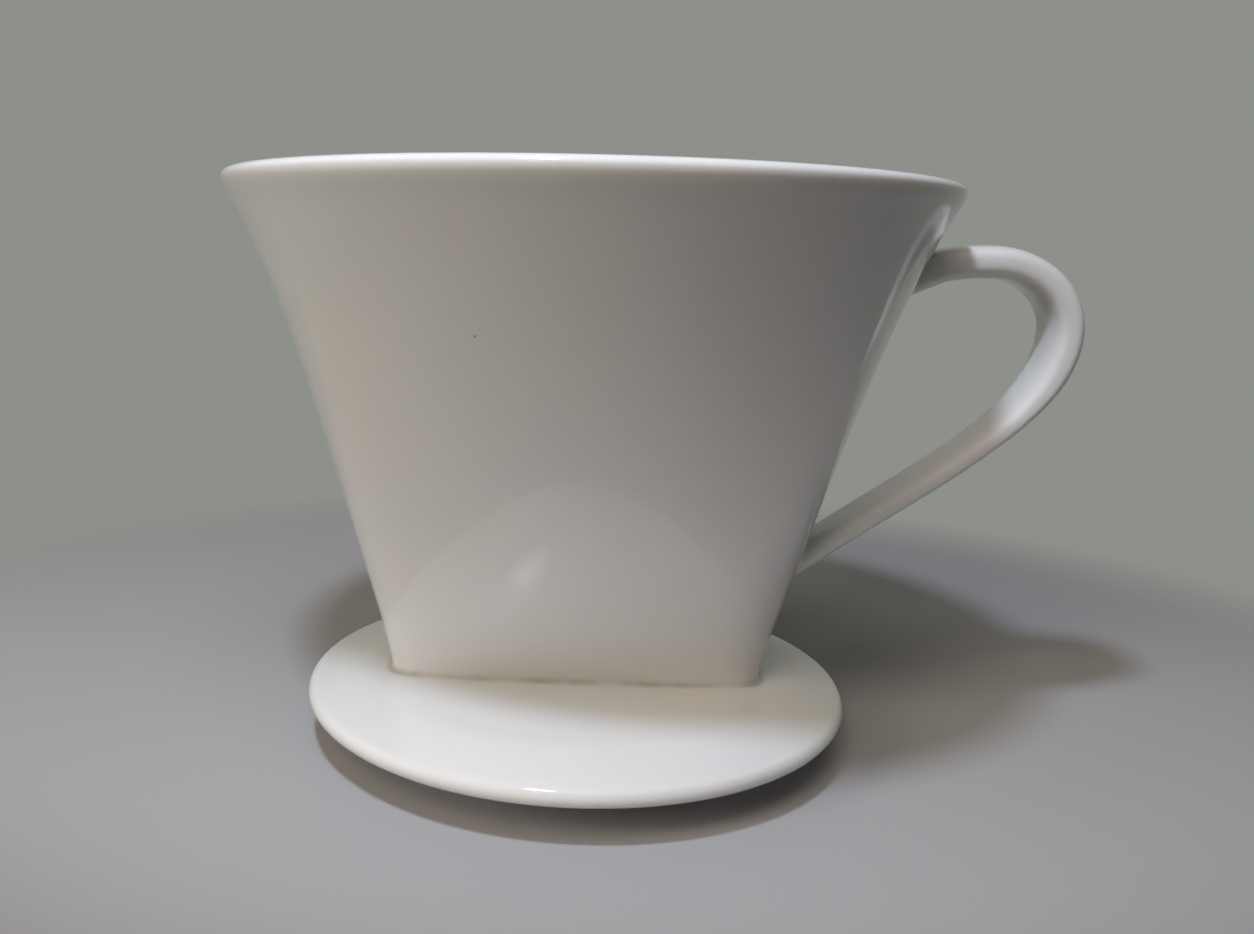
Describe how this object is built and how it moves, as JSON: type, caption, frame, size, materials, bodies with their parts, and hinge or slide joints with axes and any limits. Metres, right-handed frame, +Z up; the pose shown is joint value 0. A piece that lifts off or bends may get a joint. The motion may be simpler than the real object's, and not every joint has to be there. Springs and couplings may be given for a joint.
{
  "type": "pour over dripper",
  "caption": "White glazed porcelain pour-over dripper: oblong ribbed filter cone with a round flared rim on a flat round saucer, with a loop handle.",
  "frame": {"origin": "middle of the outline, on the plane that the saucer's ring stands on; the cone's axis is 12.55 mm from it along -X", "axes": "+Z up along the cone's axis, +X towards the handle, -Y the long wall that faces the picture's camera"},
  "size_m": [0.153, 0.128, 0.102],
  "materials": {
    "cone_glaze": "clear gloss glaze on white porcelain",
    "saucer_glaze": "clear gloss glaze on white porcelain, bare on the ring's underside",
    "handle_glaze": "clear gloss glaze on white porcelain",
    "foot_bead_glaze": "slip joint under pooled gloss glaze",
    "upper_bead_glaze": "slip joint under gloss glaze",
    "lower_bead_glaze": "slip joint under gloss glaze"
  },
  "bodies": {
    "root": {"filter_cone": "cone_glaze", "saucer": "saucer_glaze", "handle": "handle_glaze", "foot_slip_bead": "foot_bead_glaze", "upper_slip_bead": "upper_bead_glaze", "lower_slip_bead": "lower_bead_glaze"}
  },
  "joints": []
}
